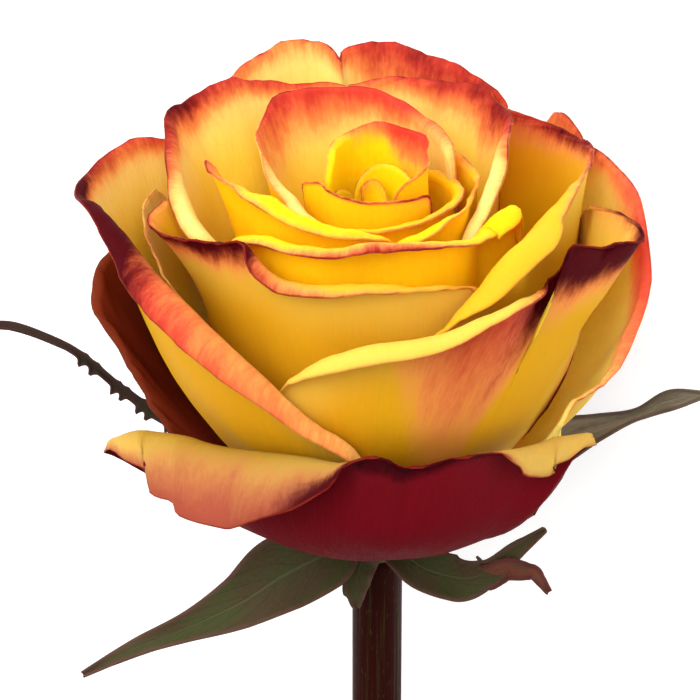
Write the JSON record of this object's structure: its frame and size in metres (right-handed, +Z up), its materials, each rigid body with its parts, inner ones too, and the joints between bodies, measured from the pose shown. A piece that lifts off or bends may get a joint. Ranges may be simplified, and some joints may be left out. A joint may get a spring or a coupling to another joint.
{
  "type": "cut rose",
  "caption": "Cut garden rose lying on its side, a full yellow bloom with red petal margins on a prickled stem with toothed compound leaves.",
  "frame": {"origin": "centre of the bounding box at its lowest plane, the surface the rose lies on", "axes": "+X from the cut end of the stem towards the bloom, +Z up from the surface, the front of the bloom turned up"},
  "size_m": [0.3364, 0.143, 0.0801],
  "materials": {
    "petal_yellow": "satin",
    "petal_pale": "satin",
    "petal_crimson": "satin",
    "sepal_green": "matte",
    "leaf_green": "satin",
    "stem_maroon": "satin"
  },
  "bodies": {
    "root": {"petal_01_core": "petal_yellow", "petal_02_core": "petal_yellow", "petal_03_core": "petal_yellow", "petal_04_core": "petal_yellow", "petal_05_inner_cup": "petal_yellow", "petal_06_inner_front": "petal_yellow", "petal_07_inner_right": "petal_yellow", "petal_08_inner_back": "petal_yellow", "petal_09_mid_right": "petal_yellow", "petal_10_mid_left": "petal_yellow", "petal_11_back_right": "petal_pale", "petal_12_mid_front": "petal_pale", "petal_13_back_left": "petal_pale", "petal_14_front": "petal_pale", "petal_15_back": "petal_pale", "petal_16_right": "petal_pale", "petal_17_left": "petal_pale", "petal_18_front_right": "petal_pale", "petal_19_outer_left": "petal_pale", "petal_20_outer_right": "petal_pale", "petal_21_far_left": "petal_pale", "petal_22_front_guard": "petal_crimson", "petal_23_guard_back_left": "petal_pale", "petal_24_guard_back_right": "petal_pale", "petal_25_guard_back": "petal_pale", "hip": "sepal_green", "sepal_left_thin": "sepal_green", "sepal_left_broad": "sepal_green", "sepal_right_leafy": "sepal_green", "sepal_right_forked": "sepal_green", "sepal_front_short": "sepal_green", "stem": "stem_maroon", "leaf_upper": "leaf_green", "leaf_middle": "leaf_green", "leaf_lower": "leaf_green"}
  },
  "joints": []
}
